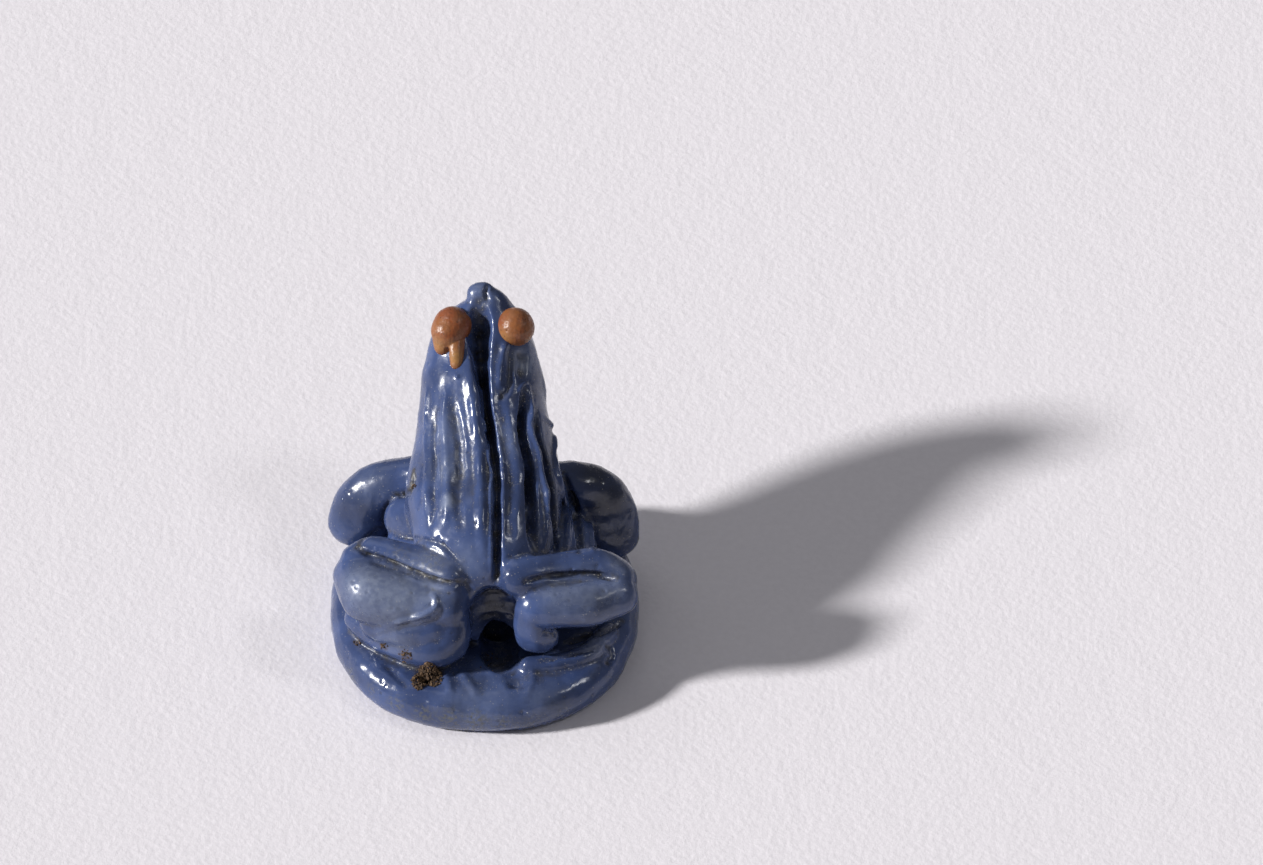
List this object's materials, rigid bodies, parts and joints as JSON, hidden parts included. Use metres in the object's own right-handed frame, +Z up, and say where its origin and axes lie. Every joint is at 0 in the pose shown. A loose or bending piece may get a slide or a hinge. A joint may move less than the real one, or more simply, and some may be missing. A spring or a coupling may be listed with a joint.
{
  "type": "frog amulet",
  "caption": "Squatting frog of dark blue glass on a low oval base, with applied orange glass eyes, a grooved back and a carrying hole along the base.",
  "frame": {"origin": "middle of the base's flat underside", "axes": "+Z up, +Y the way the frog faces, +X to the frog's right"},
  "size_m": [0.0111, 0.0126, 0.0106],
  "materials": {
    "blue_glass": "opaque, fire-polished, with a weathered haze and soil in the hollows",
    "orange_glass": "opaque, glossy, pitted and dirty"
  },
  "bodies": {
    "root": {"frog_and_base": "blue_glass", "left_eye": "orange_glass", "right_eye": "orange_glass"}
  },
  "joints": []
}
